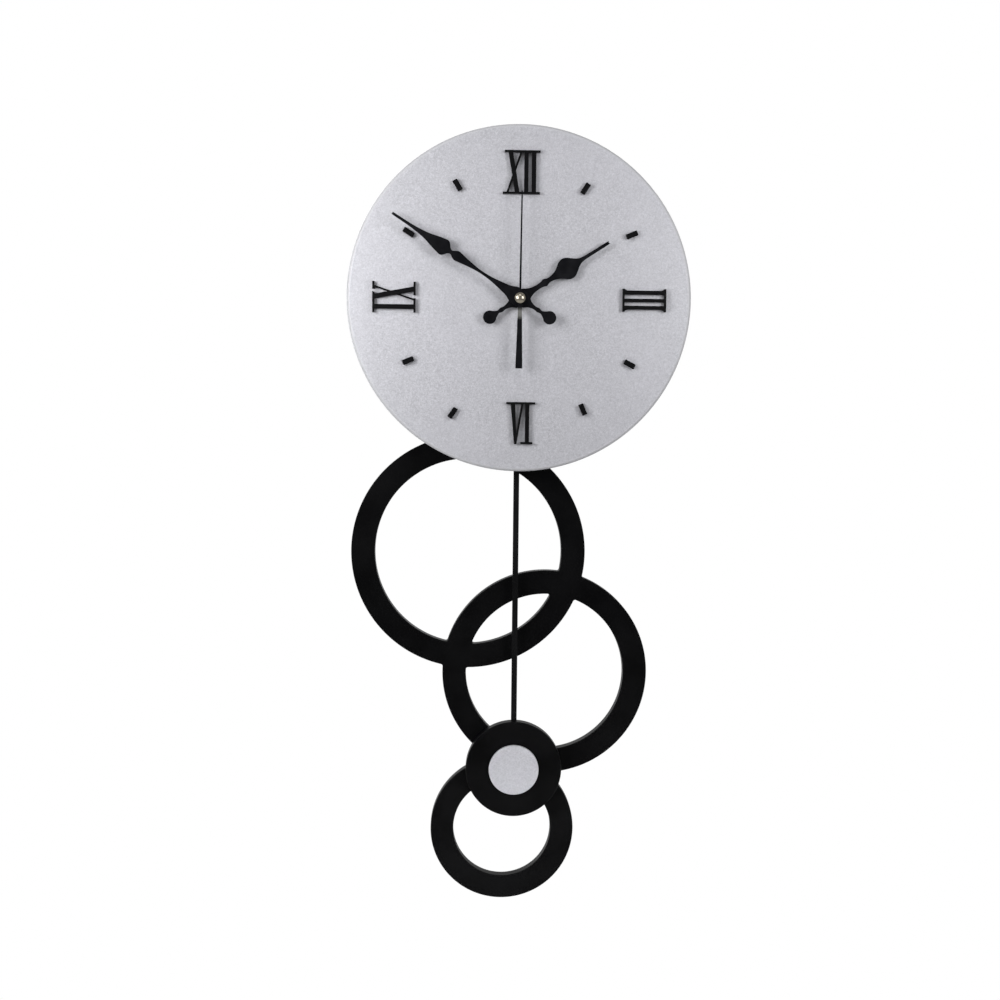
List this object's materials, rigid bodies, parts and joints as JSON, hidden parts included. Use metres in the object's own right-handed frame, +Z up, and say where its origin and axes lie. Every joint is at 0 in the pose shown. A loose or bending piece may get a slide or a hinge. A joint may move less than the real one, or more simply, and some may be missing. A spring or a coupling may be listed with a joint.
{
  "type": "pendulum wall clock",
  "caption": "Round silver-faced wall clock with Roman numerals and spade hands over a black frame of overlapping rings, with a swinging black disc pendulum.",
  "frame": {"origin": "centre of the hanging hole in the steel plate behind the dial, at the wall plane", "axes": "+Z up along the clock, +Y into the wall (the clock faces -Y), +X to the right of someone facing it"},
  "size_m": [0.26, 0.0518, 0.6014],
  "materials": {
    "dial_silver": "fine metallic silver lacquer on fibreboard",
    "numeral_black": "cut sheet plastic, semi-gloss black",
    "black_board": "satin black lacquer on fibreboard",
    "bare_board": "bare fibreboard",
    "zinc_steel": "bright zinc plate",
    "bumper_rubber": "clear grey soft rubber",
    "case_plastic": "moulded black plastic, fine texture",
    "brass": "turned brass",
    "cap_brass": "polished pale brass",
    "wheel_plastic": "natural white acetal",
    "core_steel": "stamped soft iron",
    "copper_wire": "enamelled copper winding",
    "board_green": "green solder mask",
    "battery_jacket": "plain grey-blue metal jacket",
    "magnet_grey": "sintered magnet",
    "hand_black": "stamped aluminium, satin black enamel",
    "rod_black": "black painted steel strip"
  },
  "bodies": {
    "clock": {"dial_board": "dial_silver", "numeral_xii": "numeral_black", "numeral_iii": "numeral_black", "numeral_vi": "numeral_black", "numeral_ix": "numeral_black", "hour_bars": "numeral_black", "ring_frame": "black_board", "spacer_block": "bare_board", "spacer_screws": "zinc_steel", "hanger_block": "bare_board", "hanger_block_screws": "zinc_steel", "hanger_plate": "zinc_steel", "hanger_plate_screws": "zinc_steel", "wall_bumpers": "bumper_rubber", "case_front": "case_plastic", "case_rear": "case_plastic", "case_screws": "zinc_steel", "hand_bushing": "brass", "dial_washer": "brass", "fixing_nut": "brass", "wheel_plate": "wheel_plastic", "bridge_plate": "wheel_plastic", "stator": "core_steel", "coil_core_bobbin": "wheel_plastic", "coil_winding": "copper_wire", "circuit_board": "board_green", "quartz_crystal": "zinc_steel", "clock_chip": "case_plastic", "battery": "battery_jacket", "contact_plus": "zinc_steel", "contact_minus": "zinc_steel", "drive_coil": "copper_wire", "pivot_pin": "zinc_steel"},
    "minute": {"minute_hand": "hand_black", "centre_wheel": "wheel_plastic"},
    "hour": {"hour_hand": "hand_black", "hour_wheel": "wheel_plastic"},
    "second": {"second_hand": "hand_black", "second_hand_cap": "cap_brass", "second_wheel": "wheel_plastic"},
    "third": {"third_wheel": "wheel_plastic"},
    "intermediate": {"intermediate_wheel": "wheel_plastic"},
    "rotor": {"rotor_magnet": "magnet_grey", "rotor_pinion": "wheel_plastic"},
    "motion": {"motion_wheel": "wheel_plastic"},
    "knob": {"set_knob": "wheel_plastic"},
    "pendulum": {"swing_arm": "case_plastic", "arm_magnet": "magnet_grey", "pendulum_rod": "rod_black", "pendulum_bob": "black_board", "bob_disc": "dial_silver"}
  },
  "joints": [
    {"name": "minute_turn", "type": "hinge", "parent": "clock", "child": "minute", "pos_m": [0, -0.045, -0.085], "axis": [0, 1, 0], "continuous": true},
    {"name": "hour_turn", "type": "hinge", "parent": "clock", "child": "hour", "pos_m": [0, -0.044, -0.085], "axis": [0, 1, 0], "continuous": true},
    {"name": "second_turn", "type": "hinge", "parent": "clock", "child": "second", "pos_m": [0, -0.047, -0.085], "axis": [0, 1, 0], "continuous": true},
    {"name": "third_turn", "type": "hinge", "parent": "clock", "child": "third", "pos_m": [-0.00636, -0.023, -0.07864], "axis": [0, 1, 0], "continuous": true},
    {"name": "intermediate_turn", "type": "hinge", "parent": "clock", "child": "intermediate", "pos_m": [0.00863, -0.018, -0.08186], "axis": [0, 1, 0], "continuous": true},
    {"name": "rotor_turn", "type": "hinge", "parent": "clock", "child": "rotor", "pos_m": [0.01333, -0.016, -0.08015], "axis": [0, 1, 0], "continuous": true},
    {"name": "motion_turn", "type": "hinge", "parent": "clock", "child": "motion", "pos_m": [-0.00679, -0.027, -0.09179], "axis": [0, 1, 0], "continuous": true},
    {"name": "knob_turn", "type": "hinge", "parent": "clock", "child": "knob", "pos_m": [-0.01656, -0.007, -0.09534], "axis": [0, 1, 0], "continuous": true},
    {"name": "pendulum_swing", "type": "hinge", "parent": "clock", "child": "pendulum", "pos_m": [0, -0.0175, -0.145], "axis": [0, 1, 0], "range_deg": [-6, 6]}
  ],
  "couplings": [
    {"joint": "hour_turn", "follows": "minute_turn", "ratio": 0.083333},
    {"joint": "second_turn", "follows": "minute_turn", "ratio": 60},
    {"joint": "third_turn", "follows": "minute_turn", "ratio": -8},
    {"joint": "intermediate_turn", "follows": "minute_turn", "ratio": -450},
    {"joint": "rotor_turn", "follows": "minute_turn", "ratio": 1800},
    {"joint": "motion_turn", "follows": "minute_turn", "ratio": -0.33333},
    {"joint": "knob_turn", "follows": "minute_turn", "ratio": 0.75}
  ]
}
